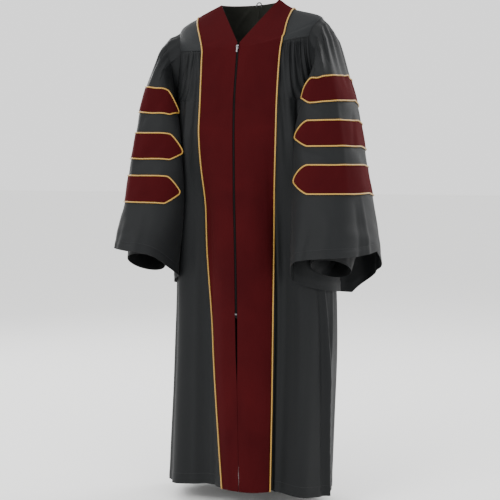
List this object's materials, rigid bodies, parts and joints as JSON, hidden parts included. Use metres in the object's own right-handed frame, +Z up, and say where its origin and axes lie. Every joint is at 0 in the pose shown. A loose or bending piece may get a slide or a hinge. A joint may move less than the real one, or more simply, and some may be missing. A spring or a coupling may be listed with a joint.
{
  "type": "graduation_gown",
  "caption": "Doctoral graduation gown in black cloth with velvet front facings, three velvet bars with gold piping on each bell sleeve, and a zip front",
  "frame": {"origin": "midway between the two points where the neckline meets the shoulder seams, where the gown hangs on its wearer", "axes": "+Z up the wearer's spine, -Y to the front of the gown, +X to the wearer's left"},
  "size_m": [0.745, 0.4353, 1.4073],
  "materials": {
    "black_cloth": "matte",
    "velvet": "matte",
    "gold_piping": "satin",
    "zip_black": "matte",
    "zip_metal": "satin"
  },
  "bodies": {
    "gown": {"back_panel": "black_cloth", "back_yoke": "black_cloth", "bar_lower_left": "velvet", "bar_lower_right": "velvet", "bar_middle_left": "velvet", "bar_middle_right": "velvet", "bar_piping_lower_left": "gold_piping", "bar_piping_lower_right": "gold_piping", "bar_piping_middle_left": "gold_piping", "bar_piping_middle_right": "gold_piping", "bar_piping_upper_left": "gold_piping", "bar_piping_upper_right": "gold_piping", "bar_upper_left": "velvet", "bar_upper_right": "velvet", "facing_piping_left": "gold_piping", "facing_piping_right": "gold_piping", "front_panel_left": "black_cloth", "front_panel_right": "black_cloth", "front_yoke_left": "black_cloth", "front_yoke_right": "black_cloth", "hanger_loop": "black_cloth", "inner_cuff_left": "black_cloth", "inner_cuff_right": "black_cloth", "neck_band_piping": "gold_piping", "sleeve_left": "black_cloth", "sleeve_right": "black_cloth", "velvet_facing_left": "velvet", "velvet_facing_right": "velvet", "velvet_neck_band": "velvet", "zip_chain": "zip_black", "zip_end_stop": "zip_metal", "zip_slider": "zip_metal", "zip_tape": "zip_black"},
    "pull_tab": {"zip_pull": "zip_metal"}
  },
  "joints": [
    {"name": "pull_swing", "type": "hinge", "parent": "gown", "child": "pull_tab", "pos_m": [-0.00011, -0.09761, -0.13039], "axis": [-1, 0, 0], "range_deg": [0, 150]}
  ]
}
